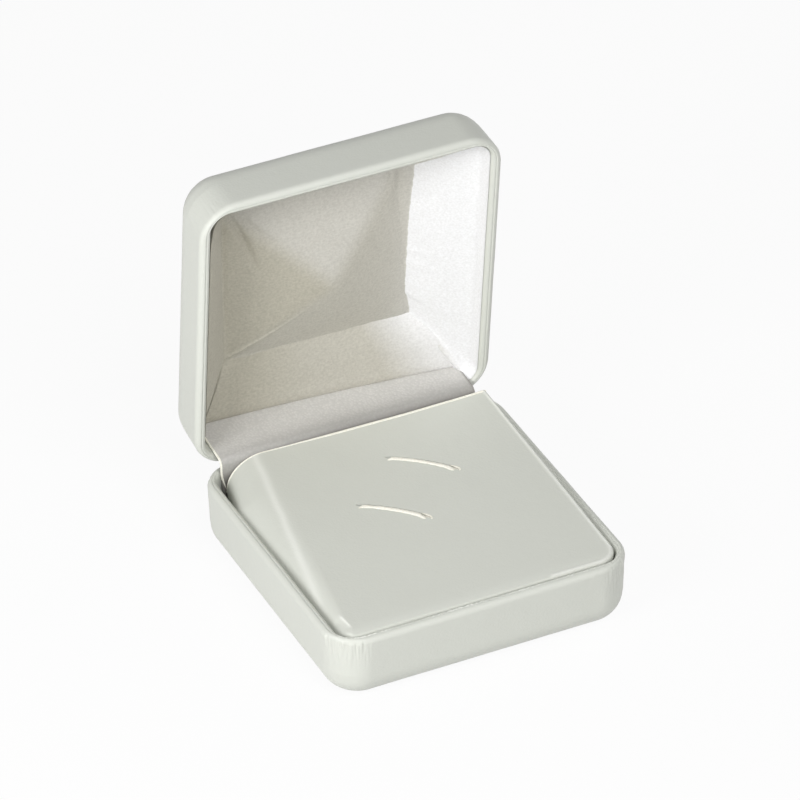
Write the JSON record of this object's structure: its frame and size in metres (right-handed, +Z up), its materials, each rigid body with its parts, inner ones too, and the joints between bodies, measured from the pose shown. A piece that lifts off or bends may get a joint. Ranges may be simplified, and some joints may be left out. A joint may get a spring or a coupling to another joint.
{
  "type": "tie clip box",
  "caption": "Hinged tie clip box with a leatherette-covered steel tray and lid, a slit padded insert and a satin lid lining.",
  "frame": {"origin": "centre of the flat underside of the base", "axes": "+Z up, +Y towards the hinge, +X to the right when the open box is faced from the front"},
  "size_m": [0.075, 0.0913, 0.0937],
  "materials": {
    "leatherette": "satin white leatherette with a fine grain",
    "satin": "soft satin weave",
    "band": "pebbled, matt",
    "steel": "plain rolled",
    "card": "grey board, matt",
    "foam": "matt"
  },
  "bodies": {
    "base": {"base_cover": "leatherette", "base_shell": "steel", "pad_cover": "leatherette", "pad_foam": "foam", "pad_card": "card", "base_hinge_leaf": "steel", "base_rivet_left": "steel", "base_rivet_right": "steel", "hinge_pin": "steel", "snap_spring": "steel", "spring_rivet": "steel", "hinge_strip": "band"},
    "lid": {"lid_cover": "leatherette", "lid_shell": "steel", "lid_hinge_leaf": "steel", "lid_rivet_left": "steel", "lid_rivet_right": "steel", "lid_lining_card": "card", "lid_lining_satin": "satin"}
  },
  "joints": [
    {"name": "lid_hinge", "type": "hinge", "parent": "base", "child": "lid", "pos_m": [0, 0.03773, 0.01764], "axis": [1, 0, 0], "range_deg": [0, 83.28], "deforming": ["hinge_strip"]}
  ]
}
